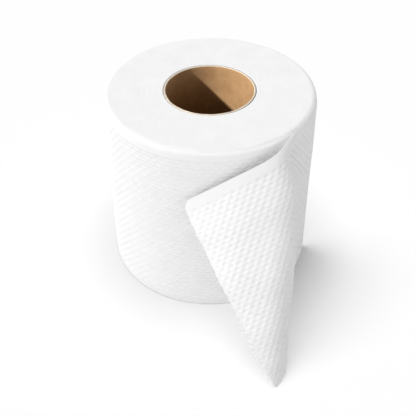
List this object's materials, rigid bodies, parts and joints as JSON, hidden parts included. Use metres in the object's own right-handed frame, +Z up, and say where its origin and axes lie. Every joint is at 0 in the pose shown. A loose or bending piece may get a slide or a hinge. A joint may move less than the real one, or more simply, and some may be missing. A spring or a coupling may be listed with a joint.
{
  "type": "toilet paper roll",
  "caption": "Roll of white embossed tissue wound on a brown board tube, standing on its end, with its loose tail peeled off and folded over at the front.",
  "frame": {"origin": "on the roll's axis, at the level of its lower end", "axes": "+Z up along the roll's axis, front towards -Y, +X to the right; the tail leaves the roll at its right front"},
  "size_m": [0.107, 0.1595, 0.1],
  "materials": {
    "tube_board": "plain brown recycled board, matt",
    "tissue": "soft white tissue, embossed with staggered dots, matt"
  },
  "bodies": {
    "root": {"core_tube": "tube_board", "paper_web": "tissue"}
  },
  "joints": []
}
